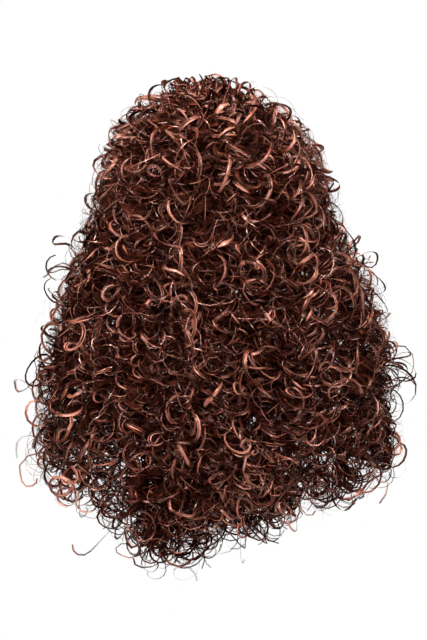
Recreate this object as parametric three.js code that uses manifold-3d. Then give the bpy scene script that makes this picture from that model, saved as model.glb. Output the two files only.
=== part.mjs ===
// Curly wig: a close-fitting cap that carries wefts of long ringlet locks.
// Millimetres, +Z up. The wearer faces -Y and the wearer's left is +X.
// The origin is the inside of the cap's crown, where it sits on the top of the head.
// The hair keeps the form that it has when worn: parted along the top, round the
// face and down over the shoulders and the back.

import * as THREE from "three";
import { mergeVertices } from "three/addons/utils/BufferGeometryUtils.js";
import Module from "manifold-3d";

const wasm = await Module();
wasm.setup();

// Driving dimensions
const CAP_WALL = 2; // the stretch net with its sewn tracks
const CAP_COLUMNS = 32;
const CAP_LEVELS = 8;
const SEAT_GAP = 0.85; // a weft's corners clear the cap by this, and its flats by less
const SHEET_THICKNESS = 5; // the hair of a weft where it still lies flat
const SHEET_STEP = 19; // distance between the sheet's sections
const SHEET_RIDGE = 5; // the sheet is thicker by this along the middle of each lock
const LOCK_STEP = 21; // distance between a lock's sections
const LOCK_START = 0.85; // a lock comes out of its sheet at this share of the sheet's length
const LOCK_FLATNESS = 0.66; // a lock's thickness over its width
const LOCK_TWIST = 56; // degrees that a lock turns from one section to the next
const LOCK_PHASE = 137; // degrees that a lock is turned from its neighbour
const LOCK_FILL = 0.47; // a lock's half width over the room that it has
const LENGTH_SCATTER = 11; // locks end up to this much higher or lower
const SCATTER_RATE = 2.4; // radians of the scatter's wave from a lock to its neighbour
const SPREAD_RATE = 7; // how soon a lock leaves its root's azimuth for its hem's
const ROOT_RISE = 0.11; // share of its length over which the hair rises from the cap

// The head's widest level is the middle of the dome. A way down the hair is measured
// from the crown: a quarter turn over the dome, then straight down.
const WIDEST_LEVEL = -80;
const QUARTER_TURN = 150;

// The dome above the widest level: half axes, and the power of its rounding.
const DOME = {
  in: { top: 82, power: 2 },
  out: { top: 107, power: 1.7 },
};

// Sections from the widest level down to the hem: half widths in X, and where the front
// and the back lie in Y. The inner outline is the cap, then the room for the neck and the
// shoulders. The outer outline is the reach of the curls.
const SECTIONS = [
  { z: -80, middle: 0, inWide: 77, inBack: 98, inFront: -96, outWide: 128, outBack: 135, outFront: -118 },
  { z: -120, middle: 2, inWide: 75, inBack: 92, inFront: -90, outWide: 140, outBack: 140, outFront: -111 },
  { z: -165, middle: 9, inWide: 67, inBack: 78, inFront: -74, outWide: 154, outBack: 144, outFront: -101 },
  { z: -200, middle: 16, inWide: 72, inBack: 70, inFront: -64, outWide: 169, outBack: 146, outFront: -92 },
  { z: -250, middle: 28, inWide: 84, inBack: 72, inFront: -56, outWide: 182, outBack: 148, outFront: -83 },
  { z: -300, middle: 38, inWide: 96, inBack: 78, inFront: -50, outWide: 195, outBack: 150, outFront: -76 },
  { z: -350, middle: 42, inWide: 104, inBack: 84, inFront: -46, outWide: 197, outBack: 150, outFront: -72 },
  { z: -480, middle: 45, inWide: 108, inBack: 92, inFront: -40, outWide: 186, outBack: 146, outFront: -68 },
];
const SECTION_POWER = 2.1;

// The cap's edge on the wearer's left, as the way down from the crown at each azimuth:
// the forehead, the temple, the tab in front of the ear, the arch over it and the nape.
const CAP_EDGE = [
  { azimuth: -90, way: 103 },
  { azimuth: -62, way: 110 },
  { azimuth: -46, way: 140 },
  { azimuth: -34, way: 182 },
  { azimuth: -12, way: 166 },
  { azimuth: 8, way: 170 },
  { azimuth: 35, way: 212 },
  { azimuth: 65, way: 232 },
  { azimuth: 90, way: 236 },
];

// The hem from the wearer's left side round the back to the right: where the longest locks
// end, which lie on the inside, and where the outermost ones do.
const HEM = [
  { azimuth: -60, longest: -352, outermost: -342 },
  { azimuth: 0, longest: -378, outermost: -368 },
  { azimuth: 45, longest: -412, outermost: -374 },
  { azimuth: 60, longest: -436, outermost: -388 },
  { azimuth: 75, longest: -474, outermost: -410 },
  { azimuth: 92, longest: -456, outermost: -404 },
  { azimuth: 118, longest: -438, outermost: -388 },
  { azimuth: 140, longest: -410, outermost: -372 },
  { azimuth: 180, longest: -378, outermost: -368 },
  { azimuth: 240, longest: -352, outermost: -342 },
];

// The wefts of each half, from the inside of the hair out, with azimuths on the wearer's
// left. A weft runs round the cap at one way down from the crown, and its locks fan out at
// the hem from one azimuth to another. seamShift moves the seam between the two halves to
// one side at the back. sheet is the share of its length that lies flat, and hem is 0 for
// the longest locks and 1 for the outermost.
const WEFTS = [
  {
    name: "nape_weft", layer: "under", locks: 5, sheet: 0.1, hem: 0,
    rootFrom: 28, rootWay: 205, hemFrom: 23, hemTo: 89, seamShift: 0,
  },
  {
    name: "side_weft", layer: "side", locks: 5, sheet: 0.12, hem: 0,
    rootFrom: -50, rootWay: 138, hemFrom: -52, hemTo: 15, seamShift: 0,
  },
  {
    name: "back_weft", layer: "middle", locks: 6, sheet: 0.16, hem: 0.5,
    rootFrom: 24, rootWay: 112, hemFrom: 21, hemTo: 89, seamShift: -5,
  },
];

// The crown wefts lie along the parting, from the forehead back to the crown.
const PARTING = {
  name: "crown_weft", layer: "outer", locks: 11, sheet: 0.26, hem: 1,
  front: -84, back: 34, aside: 4, hemFrom: -54, hemTo: 89, seamShift: 6,
};

// Where a layer's locks lie in its depth, and how much of the hair's depth the inner
// layers take up once they have risen from their roots.
const LAYER_MIDDLE = { under: 0.5, side: 0.5, middle: 0.5, outer: 0.58 };
const UNDER_SHARE = 0.34;
const MIDDLE_SHARE = 0.39;
const LAYER_RISE = 85;

// A lock's size along its length, over the size that its room allows.
const LOCK_TAPER = [
  { along: 0, size: 0.4 },
  { along: 0.15, size: 1 },
  { along: 0.88, size: 1 },
  { along: 1, size: 0.4 },
];

const HAIR_FINISH = { color: 0x5a2a1e, roughness: 0.45, metalness: 0 };
const CAP_FINISH = { color: 0x2a1814, roughness: 0.85, metalness: 0 };

// A column of a table, in proportion between the rows on either side of a key column's value.
function tableValue(rows, key, value, column) {
  const order = Math.sign(rows[rows.length - 1][key] - rows[0][key]);
  const after = rows.findIndex((row) => order * row[key] >= order * value);
  if (after === 0) return rows[0][column];
  if (after < 0) return rows[rows.length - 1][column];
  const [low, high] = [rows[after - 1], rows[after]];
  const share = (value - low[key]) / (high[key] - low[key]);
  return THREE.MathUtils.lerp(low[column], high[column], share);
}

// The distance from the middle to a rounded outline with two half axes, along a direction.
function outlineRadius(power, angle, across, along) {
  const sum = (Math.abs(Math.cos(angle)) / across) ** power + (Math.abs(Math.sin(angle)) / along) ** power;
  return sum ** (-1 / power);
}

// The distance from the axis to the inner or the outer outline of the section at a height.
function sectionRadius(side, turn, z) {
  const end = Math.sin(turn) > 0 ? "Back" : "Front";
  const at = (column) => tableValue(SECTIONS, "z", z, column);
  return outlineRadius(SECTION_POWER, turn, at(side + "Wide"), Math.abs(at(side + end) - at("middle")));
}

// A point of the hair: an azimuth in degrees, a way down from the crown, and a share of
// the hair's depth, from 0 on the inner outline to 1 on the outer one, with a lift in mm.
function hairPoint(azimuth, way, share, lift = 0) {
  const turn = THREE.MathUtils.degToRad(azimuth);
  const tilt = Math.max(1 - way / QUARTER_TURN, 0) * (Math.PI / 2);
  const z = WIDEST_LEVEL - Math.max(way - QUARTER_TURN, 0);
  const reach = (side) => outlineRadius(DOME[side].power, tilt, sectionRadius(side, turn, z), DOME[side].top);
  const radius = THREE.MathUtils.lerp(reach("in"), reach("out"), share) + lift;
  return new THREE.Vector3(
    radius * Math.cos(tilt) * Math.cos(turn),
    radius * Math.cos(tilt) * Math.sin(turn) + tableValue(SECTIONS, "z", z, "middle"),
    radius * Math.sin(tilt) + z,
  );
}

// A closed body lofted through rings that have the same even number of points each. An end
// ring is closed by a strip from its first half to its second, so it may be a bent band.
function loft(rings) {
  const sides = rings[0].length;
  const positions = rings.flat().flatMap((point) => [point.x, point.y, point.z]);
  const index = [];
  for (let ring = 0; ring + 1 < rings.length; ring++) {
    for (let side = 0; side < sides; side++) {
      const next = (side + 1) % sides;
      const [a, b] = [ring * sides + side, ring * sides + next];
      index.push(a, b, b + sides, a, b + sides, a + sides);
    }
  }
  const last = (rings.length - 1) * sides;
  for (let side = 0; side + 1 < sides / 2; side++) {
    const [a, b, c, d] = [side, side + 1, sides - 2 - side, sides - 1 - side];
    index.push(a, c, b, a, d, c);
    index.push(last + a, last + b, last + c, last + a, last + c, last + d);
  }
  const geometry = new THREE.BufferGeometry();
  geometry.setAttribute("position", new THREE.Float32BufferAttribute(positions, 3));
  geometry.setIndex(index);
  return geometry;
}

function solidOf(geometry) {
  const merged = mergeVertices(geometry, 1e-4);
  return new wasm.Manifold(
    new wasm.Mesh({
      numProp: 3,
      vertProperties: new Float32Array(merged.attributes.position.array),
      triVerts: new Uint32Array(merged.index.array),
    }),
  );
}

function geometryOf(solid) {
  const mesh = solid.getMesh();
  const geometry = new THREE.BufferGeometry();
  geometry.setAttribute("position", new THREE.BufferAttribute(mesh.vertProperties, 3));
  geometry.setIndex(new THREE.BufferAttribute(mesh.triVerts, 1));
  geometry.computeVertexNormals();
  return geometry;
}

// The cap: one wall from the crown to its edge, open below and at the face.
function makeCap() {
  const wall = (lift) => (column, level) => {
    const azimuth = -90 + (360 * column) / CAP_COLUMNS;
    const leftAzimuth = azimuth > 90 ? 180 - azimuth : azimuth;
    const edge = tableValue(CAP_EDGE, "azimuth", leftAzimuth, "way");
    return hairPoint(azimuth, (edge * level) / CAP_LEVELS, 0, lift);
  };
  const profile = [];
  for (let level = 0; level <= CAP_LEVELS; level++) profile.push([wall(0), level]);
  for (let level = CAP_LEVELS; level >= 0; level--) profile.push([wall(-CAP_WALL), level]);
  const columns = [...Array(CAP_COLUMNS).keys()];
  const rings = profile.map(([surface, level]) => columns.map((column) => surface(column, level)));
  return geometryOf(outwards(loft(rings)));
}

// The shares of the hair's depth that a layer takes up at a way down from the crown. A
// layer starts at its weft's root and pushes the layers over it out.
function layerBounds(layer, way) {
  const risen = (name) => {
    const root = WEFTS.find((weft) => weft.name === name).rootWay;
    return THREE.MathUtils.smoothstep(way, root, root + LAYER_RISE);
  };
  const under = UNDER_SHARE * risen("nape_weft");
  const middle = under + MIDDLE_SHARE * risen("back_weft");
  const bounds = { under: [0, under], side: [0, middle], middle: [under, middle], outer: [middle, 1] };
  return bounds[layer];
}

// Where a weft's roots lie: round the cap at one level, or along the parting.
function rootRoundCap(weft, hemTo) {
  return (place) => ({ azimuth: THREE.MathUtils.lerp(weft.rootFrom, hemTo, place), way: weft.rootWay });
}

function rootAlongParting(parting) {
  return (place) => {
    const x = parting.aside;
    const y = THREE.MathUtils.lerp(parting.front, parting.back, place);
    const turn = Math.atan2(y, x);
    const outness = Math.hypot(x, y) / sectionRadius("in", turn, WIDEST_LEVEL);
    const height = DOME.in.top * Math.sqrt(1 - outness ** DOME.in.power);
    const tilt = Math.atan2(height, Math.hypot(x, y));
    return {
      azimuth: THREE.MathUtils.radToDeg(turn),
      way: QUARTER_TURN * (1 - tilt / (Math.PI / 2)),
    };
  };
}

// The hair of one weft on one side of the head. It gives a point for a place along the
// weft and a share of the hair's length, by default in the middle of the weft's layer.
function hairOf(weft, mirrored) {
  const { lerp, smoothstep } = THREE.MathUtils;
  const own = (azimuth) => (mirrored ? 180 - azimuth : azimuth);
  const hemTo = weft.hemTo + (mirrored ? -weft.seamShift : weft.seamShift);
  const rootAt = weft.layer === "outer" ? rootAlongParting(weft) : rootRoundCap(weft, hemTo);
  return (place, along, { share, lift = 0 } = {}) => {
    const root = rootAt(place);
    const hemAzimuth = lerp(weft.hemFrom, hemTo, place);
    const azimuth = lerp(hemAzimuth, root.azimuth, (1 - along) ** SPREAD_RATE);
    const scatter = LENGTH_SCATTER * Math.sin(SCATTER_RATE * place * weft.locks);
    const hemAt = (column) => tableValue(HEM, "azimuth", own(hemAzimuth), column);
    const hem = lerp(hemAt("longest"), hemAt("outermost"), weft.hem) + scatter;
    const way = lerp(root.way, QUARTER_TURN + WIDEST_LEVEL - hem, along);
    const bounds = layerBounds(weft.layer, way);
    const middle = lerp(...bounds, LAYER_MIDDLE[weft.layer]) * smoothstep(along, 0, ROOT_RISE);
    const depth = share === undefined ? middle : bounds[share];
    return hairPoint(own(azimuth), way, depth, SEAT_GAP + SHEET_THICKNESS / 2 + lift);
  };
}

function lengthOf(line) {
  const parts = 20;
  let length = 0;
  for (let part = 0; part < parts; part++) {
    length += line(part / parts).distanceTo(line((part + 1) / parts));
  }
  return length;
}

const NEARBY = 0.01; // share of a lock's length over which its direction is taken

// One lock: a flat strip that turns about its spine, thin at the root and at the tip.
function makeLock(hair, place, cell, start) {
  const spine = (along) => hair(place, along);
  const steps = Math.round(((1 - start) * lengthOf(spine)) / LOCK_STEP);
  const rings = [];
  for (let step = 0; step <= steps; step++) {
    const along = THREE.MathUtils.lerp(start, 1, step / steps);
    const point = spine(along);
    const ahead = spine(Math.min(along + NEARBY, 1)).sub(spine(Math.max(along - NEARBY, 0))).normalize();
    const across = hair(place + cell / 2, along).sub(hair(place - cell / 2, along));
    across.addScaledVector(ahead, -across.dot(ahead));
    const depth = hair(place, along, { share: 1 }).distanceTo(hair(place, along, { share: 0 }));
    const room = Math.min(across.length(), Math.max(depth, SHEET_THICKNESS));
    const wide = LOCK_FILL * room * tableValue(LOCK_TAPER, "along", step / steps, "size");
    const side = across.normalize();
    const out = new THREE.Vector3().crossVectors(ahead, side);
    const turned = THREE.MathUtils.degToRad(LOCK_TWIST * step + (LOCK_PHASE * place) / cell);
    const corners = [0, 1, 2, 3].map((corner) => {
      const angle = turned + (corner * Math.PI) / 2;
      const reach = corner % 2 ? wide * LOCK_FLATNESS : wide;
      return point
        .clone()
        .addScaledVector(side, reach * Math.cos(angle))
        .addScaledVector(out, reach * Math.sin(angle));
    });
    rings.push(corners);
  }
  return loft(rings);
}

// A weft's sheet: its hair from the root on, where it lies flat before it parts into locks.
// It has a ridge along each lock, which rises from the root on.
function makeSheet(hair, weft) {
  const stations = 2 * weft.locks;
  const steps = Math.ceil((weft.sheet * lengthOf((along) => hair(0.5, along))) / SHEET_STEP);
  const surface = (station, step, lift) => hair(station / stations, (weft.sheet * step) / steps, { lift });
  const rings = [];
  for (let station = 0; station <= stations; station++) {
    const ridge = station % 2 ? SHEET_RIDGE : 0;
    const ring = [];
    for (let step = 0; step <= steps; step++) {
      ring.push(surface(station, step, -SHEET_THICKNESS / 2));
    }
    for (let step = steps; step >= 0; step--) {
      ring.push(surface(station, step, SHEET_THICKNESS / 2 + ridge * Math.min(step / 2, 1)));
    }
    rings.push(ring);
  }
  return loft(rings);
}

// A closed body as a solid whose faces point outwards.
function outwards(geometry) {
  const solid = solidOf(geometry);
  if (solid.volume() > 0) return solid;
  const flipped = geometry.clone();
  const index = [...geometry.index.array];
  for (let i = 0; i < index.length; i += 3) {
    [index[i + 1], index[i + 2]] = [index[i + 2], index[i + 1]];
  }
  flipped.setIndex(index);
  return solidOf(flipped);
}

// A whole weft: its sheet with its locks fused to it. A pocket that is closed in between
// them has a skin of its own, and is filled by keeping the outer skin.
function makeWeft(weft, mirrored) {
  const hair = hairOf(weft, mirrored);
  const cell = 1 / weft.locks;
  let whole = outwards(makeSheet(hair, weft));
  for (let lock = 0; lock < weft.locks; lock++) {
    whole = whole.add(outwards(makeLock(hair, (lock + 0.5) * cell, cell, LOCK_START * weft.sheet)));
  }
  const skins = whole.decompose();
  const outer = skins.filter((skin) => skin.volume() > 0);
  if (outer.length !== 1) throw new Error(weft.name + " has a lock that is not fused to it");
  return geometryOf(outer[0]);
}

const wig = new THREE.Group();

function addPiece(name, geometry, finish) {
  const mesh = new THREE.Mesh(geometry, new THREE.MeshStandardMaterial(finish));
  mesh.name = name;
  wig.add(mesh);
}

addPiece("cap", makeCap(), CAP_FINISH);

for (const weft of [...WEFTS, PARTING]) {
  addPiece("left_" + weft.name, makeWeft(weft, false), HAIR_FINISH);
  addPiece("right_" + weft.name, makeWeft(weft, true), HAIR_FINISH);
}

export default wig;
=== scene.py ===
# %% [markdown]
# A long curly wig, made of thousands of curled ribbons of hair on a stretch cap.
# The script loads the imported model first. The hair here follows the same form as the model's
# solids, and every piece that is made stands in the same frame, in metres.

import math

import bpy
import numpy as np
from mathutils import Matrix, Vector


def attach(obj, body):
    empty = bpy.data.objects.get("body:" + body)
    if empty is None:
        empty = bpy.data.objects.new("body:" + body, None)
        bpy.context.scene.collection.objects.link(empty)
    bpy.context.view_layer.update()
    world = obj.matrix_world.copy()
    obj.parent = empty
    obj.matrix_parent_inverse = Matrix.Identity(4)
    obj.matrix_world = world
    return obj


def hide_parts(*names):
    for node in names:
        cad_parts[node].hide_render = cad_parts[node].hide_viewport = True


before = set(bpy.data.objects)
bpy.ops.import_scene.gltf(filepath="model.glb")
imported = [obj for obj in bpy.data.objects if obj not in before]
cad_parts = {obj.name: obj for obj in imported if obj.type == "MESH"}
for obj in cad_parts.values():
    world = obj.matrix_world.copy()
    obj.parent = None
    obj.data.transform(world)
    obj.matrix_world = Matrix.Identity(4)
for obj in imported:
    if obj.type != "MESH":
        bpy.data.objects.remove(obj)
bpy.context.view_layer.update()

# %% [markdown]
# The hair hangs as it does on a head and shoulders, and follows their form. A point of it is
# found from three numbers: an azimuth round the head, a way down from the crown, and a share of
# the hair's depth, from 0 on the cap or the neck to 1 on the outside of the curls.
# A table of a few sections gives the two outlines, and a dome closes them above.

# %% The form of the hair, in millimetres
MM = 0.001
WIDEST_LEVEL = -80
QUARTER_TURN = 150
DOME_TOP = {"in": 82, "out": 107}
DOME_POWER = {"in": 2.0, "out": 1.95}
SECTION_POWER = 2.1
NO_ROOM_KEPT = -50
SECTIONS = {
    "z": (-80, -120, -165, -200, -250, -300, -350, -480),
    "middle": (0, 2, 9, 16, 28, 38, 42, 45),
    "in_wide": (77, 75, 67, 72, 84, 96, 104, 108),
    "in_back": (98, 92, 78, 70, 72, 78, 84, 92),
    "in_front": (-96, -90, -74, -64, -56, -50, -46, -40),
    "out_wide": (128, 140, 154, 169, 182, 195, 197, 186),
    "out_back": (135, 140, 144, 146, 148, 150, 150, 146),
    "out_front": (-118, -111, -101, -92, -83, -76, -72, -68),
}


def section(column, z):
    levels = [-level for level in SECTIONS["z"]]
    return np.interp(-z, levels, SECTIONS[column])


def outline_radius(power, angle, across, along):
    reach = (np.abs(np.cos(angle)) / across) ** power + (np.abs(np.sin(angle)) / along) ** power
    return reach ** (-1 / power)


def hair_radius(side, turn, tilt, z):
    middle = section("middle", z)
    back = section(side + "_back", z) - middle
    front = middle - section(side + "_front", z)
    along = np.where(np.sin(turn) > 0, back, front)
    flat = outline_radius(SECTION_POWER, turn, section(side + "_wide", z), along)
    return outline_radius(DOME_POWER[side], tilt, flat, DOME_TOP[side])


def hair_point(azimuth, way, share, lift=0, room=NO_ROOM_KEPT):
    """Points in metres, lifted off the cap, with some room kept below the outside of the curls."""
    turn = np.radians(azimuth)
    tilt = np.maximum(1 - way / QUARTER_TURN, 0) * (np.pi / 2)
    z = WIDEST_LEVEL - np.maximum(way - QUARTER_TURN, 0)
    inside, outside = hair_radius("in", turn, tilt, z), hair_radius("out", turn, tilt, z)
    highest = np.maximum(outside - room, inside)
    radius = np.minimum(inside + (outside - inside) * share, highest) + lift
    x = radius * np.cos(tilt) * np.cos(turn)
    y = radius * np.cos(tilt) * np.sin(turn) + section("middle", z)
    return np.stack([x, y, radius * np.sin(tilt) + z], axis=-1) * MM


crown_top = hair_point(np.array(0.0), np.array(0.0), np.array(1.0))
print("top of the curls at", crown_top[2].round(3), "m")

# %% [markdown]
# The camera stands behind the hair, almost level with its middle, and far away, so that
# the sides show little perspective. The picture is 427 by 640 pixels, and one pixel is
# 1.05 mm at the back of the head.

# %% Camera
PICTURE_SIZE = (427, 640)
PIXEL = 1.05 * MM
CAMERA_DISTANCE = 2.6
CAMERA_ELEVATION = math.radians(3)
SENSOR = 36.0
aim = Vector((0.0, 0.04, -0.226))

camera = bpy.data.objects.new("camera", bpy.data.cameras.new("camera"))
bpy.context.scene.collection.objects.link(camera)
bpy.context.scene.camera = camera
camera.data.sensor_width = SENSOR
camera.data.lens = SENSOR * CAMERA_DISTANCE / (PICTURE_SIZE[1] * PIXEL)
towards = Vector((0, math.cos(CAMERA_ELEVATION), math.sin(CAMERA_ELEVATION)))
camera.location = aim + towards * CAMERA_DISTANCE
camera.rotation_euler = (-towards).to_track_quat("-Z", "Y").to_euler()
print("camera at", tuple(round(c, 3) for c in camera.location))
print("lens", round(camera.data.lens, 1), "mm")

# %% [markdown]
# The studio is plain: a pale floor far below the hair, a white surround and a few large soft
# lights. Glossy hair mirrors what is round it, and under an even white surround it would look
# grey. So the surround is white where the camera sees it and dim where it lights the hair, and
# the lights on the camera's side give each curl a small bright patch.

# %% Floor and lights
FLOOR_LEVEL = -1.6
FLOOR_RADIUS = 5.4
FLOOR_SIDES = 96
SURROUND_LIGHT = 0.3
LIGHTS = {
    "key_light": dict(place=(1.4, 2.0, 2.0), size=0.9, power=196),
    "fill_light": dict(place=(-1.8, 2.0, 1.5), size=0.9, power=156),
    "top_light": dict(place=(0.1, 0.8, 1.9), size=0.9, power=92),
    "front_light": dict(place=(-0.8, -2.4, 0.9), size=1.0, power=50),
}


def make_floor():
    angles = np.linspace(0, 2 * np.pi, FLOOR_SIDES, endpoint=False)
    across, along = FLOOR_RADIUS * np.cos(angles), FLOOR_RADIUS * np.sin(angles)
    ring = [(x, y, FLOOR_LEVEL) for x, y in zip(across, along)]
    mesh = bpy.data.meshes.new("studio_floor")
    mesh.from_pydata(ring, [], [list(range(len(ring)))])
    floor = bpy.data.objects.new("studio_floor", mesh)
    bpy.context.scene.collection.objects.link(floor)
    paint = bpy.data.materials.new("studio_floor_paint")
    paint.use_nodes = True
    shader = paint.node_tree.nodes["Principled BSDF"]
    shader.inputs["Base Color"].default_value = (0.9, 0.9, 0.9, 1)
    shader.inputs["Roughness"].default_value = 0.9
    mesh.materials.append(paint)


def make_light(name, place, size, power):
    light = bpy.data.objects.new(name, bpy.data.lights.new(name, "AREA"))
    light.data.shape = "DISK"
    light.data.size = size
    light.data.energy = power
    light.location = place
    light.rotation_euler = (Vector(place) - aim).to_track_quat("Z", "Y").to_euler()
    bpy.context.scene.collection.objects.link(light)


def make_surround():
    world = bpy.data.worlds.new("studio")
    world.use_nodes = True
    background = world.node_tree.nodes["Background"]
    seen = world.node_tree.nodes.new("ShaderNodeLightPath").outputs["Is Camera Ray"]
    strength = world.node_tree.nodes.new("ShaderNodeMapRange")
    strength.inputs["To Min"].default_value = SURROUND_LIGHT
    strength.inputs["To Max"].default_value = 1.0
    world.node_tree.links.new(seen, strength.inputs["Value"])
    world.node_tree.links.new(strength.outputs["Result"], background.inputs["Strength"])
    background.inputs["Color"].default_value = (1, 1, 1, 1)
    bpy.context.scene.world = world


make_floor()
make_surround()
for light_name, light in LIGHTS.items():
    make_light(light_name, **light)
bpy.context.scene.view_settings.view_transform = "Standard"
print("lights:", ", ".join(LIGHTS))

# %% [markdown]
# Node trees are long to write socket by socket. One small class wraps a tree, and another
# wraps a socket and overloads the operators, so a sum in the script adds a Math node.

# %% A small language for node trees


class Wire:
    """An output socket, with operators that add Math nodes to its tree."""

    def __init__(self, nodes, socket):
        self.nodes, self.socket = nodes, socket

    def other(self, name):
        return Wire(self.nodes, self.socket.node.outputs[name])

    def math(self, operation, *others):
        values = dict(enumerate([self, *others]))
        return self.nodes.add("ShaderNodeMath", {"operation": operation}, values)

    def __add__(self, other):
        return self.math("ADD", other)

    def __radd__(self, other):
        return self.math("ADD", other)

    def __sub__(self, other):
        return self.math("SUBTRACT", other)

    def __rsub__(self, other):
        return self.math("MULTIPLY", -1) + other

    def __mul__(self, other):
        return self.math("MULTIPLY", other)

    def __rmul__(self, other):
        return self.math("MULTIPLY", other)

    def __truediv__(self, other):
        return self.math("DIVIDE", other)


class Nodes:
    """A node tree under construction."""

    def __init__(self, tree):
        self.tree = tree

    def add(self, kind, settings=None, inputs=None, output=0):
        """Adds a node, sets its settings, then its sockets, and gives one of its outputs."""
        node = self.tree.nodes.new(kind)
        for name, value in (settings or {}).items():
            if name == "stops":
                self.set_stops(node.color_ramp, value)
            elif name == "captures":
                for item, data_type in value.items():
                    node.capture_items.new(data_type, item)
            else:
                setattr(node, name, value)
        self.feed(node, inputs or {})
        return Wire(self, node.outputs[output]) if node.outputs else node

    def feed(self, node, inputs):
        """Gives each socket a value or a link."""
        for name, value in inputs.items():
            if isinstance(value, Wire):
                self.tree.links.new(value.socket, node.inputs[name])
            else:
                node.inputs[name].default_value = value

    @staticmethod
    def set_stops(ramp, stops):
        while len(ramp.elements) < len(stops):
            ramp.elements.new(1.0)
        for element, (place, colour) in zip(ramp.elements, stops):
            element.position = place
            element.color = (*colour, 1)

    def vector(self, operation, *values):
        return self.add("ShaderNodeVectorMath", {"operation": operation}, dict(enumerate(values)))

    def scaled(self, vector, factor):
        sockets = {0: vector, "Scale": factor}
        return self.add("ShaderNodeVectorMath", {"operation": "SCALE"}, sockets)

    def xyz(self, x, y, z):
        return self.add("ShaderNodeCombineXYZ", None, {"X": x, "Y": y, "Z": z})

    def named_value(self, name, data_type="FLOAT"):
        settings = {"data_type": data_type}
        return self.add("GeometryNodeInputNamedAttribute", settings, {"Name": name})

    def facing(self, curve, normal):
        sockets = {"Curve": curve, "Normal": normal}
        return self.add("GeometryNodeSetCurveNormal", {"mode": "FREE"}, sockets)


# %% [markdown]
# A Geometry Nodes tree works on an object through a modifier. Here the object is a set of plain
# lines that carry named values, and the result is kept as a plain mesh, because the export
# writes meshes and drops instances.

# %% Running a node tree


def new_tree(name, inputs):
    tree = bpy.data.node_groups.new(name, "GeometryNodeTree")
    tree.interface.new_socket("Geometry", in_out="INPUT", socket_type="NodeSocketGeometry")
    for label, kind in inputs.items():
        tree.interface.new_socket(label, in_out="INPUT", socket_type=kind)
    tree.interface.new_socket("Geometry", in_out="OUTPUT", socket_type="NodeSocketGeometry")
    return tree


def made_by_nodes(source, tree, name, inputs):
    """Runs a tree on an object and keeps the result as a plain mesh object."""
    modifier = source.modifiers.new("nodes", "NODES")
    modifier.node_group = tree
    for socket in tree.interface.items_tree:
        if socket.in_out == "INPUT" and socket.name in inputs:
            modifier[socket.identifier] = inputs[socket.name]
    evaluated = source.evaluated_get(bpy.context.evaluated_depsgraph_get())
    mesh = bpy.data.meshes.new_from_object(evaluated)
    source.modifiers.remove(modifier)
    mesh.name = name
    piece = bpy.data.objects.new(name, mesh)
    bpy.context.scene.collection.objects.link(piece)
    bpy.data.objects.remove(source)
    return piece


def count_triangles(piece):
    return sum(len(face.vertices) - 2 for face in piece.data.polygons)


def line_object(name, points, edges, numbers=None, vectors=None):
    """Edges along lines of points, with named values on the points."""
    mesh = bpy.data.meshes.new(name)
    mesh.from_pydata(np.reshape(points, (-1, 3)).tolist(), np.asarray(edges).tolist(), [])
    for kind, field, values in (("FLOAT", "value", numbers), ("FLOAT_VECTOR", "vector", vectors)):
        for key, value in (values or {}).items():
            layer = mesh.attributes.new(key, kind, "POINT")
            layer.data.foreach_set(field, np.ravel(value).astype(np.float32))
    lines = bpy.data.objects.new(name, mesh)
    bpy.context.scene.collection.objects.link(lines)
    return lines


# %% [markdown]
# The base of the wig is a cap, a hood of dark stretch net that the hair is sewn to. Its holes
# are about a millimetre wide, and it shows only through the curls and from below. So the net is
# not made thread by thread: it is a thin closed shell, and the threads are bump and colour that
# follow the shell's own map, with one half of the map for the outside and one for the inside.

# %% Cap shell
CAP_EDGE = {
    "azimuth": (-90, -62, -46, -34, -12, 8, 35, 65, 90),
    "way": (103, 110, 140, 182, 166, 170, 212, 232, 236),
}
CAP_WALL = 2
CAP_COLUMNS, CAP_ROWS = 144, 44
OUTSIDE_MAP_END, INSIDE_MAP_START = 0.47, 0.53


def cap_edge(azimuth):
    """How far down from the crown the cap reaches, alike on both sides."""
    turned = (np.asarray(azimuth, dtype=float) + 90) % 360 - 90
    folded = np.where(turned > 90, 180 - turned, turned)
    return np.interp(folded, CAP_EDGE["azimuth"], CAP_EDGE["way"])


def cap_rings():
    """Rings of points, down the outside of the cap and up its inside, and the two poles."""
    azimuth = np.arange(CAP_COLUMNS)[None, :] * 360.0 / CAP_COLUMNS
    way = np.linspace(0, 1, CAP_ROWS + 1)[1:, None] * cap_edge(azimuth)
    nothing = np.zeros_like(way)
    outside = hair_point(azimuth, way, nothing)
    inside = hair_point(azimuth, way, nothing, lift=-CAP_WALL)[::-1]
    crown = np.zeros((1, 1))
    poles = [hair_point(crown, crown, crown, lift=lift)[0, 0] for lift in (0, -CAP_WALL)]
    return np.concatenate([outside, inside]), np.array(poles)


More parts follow.
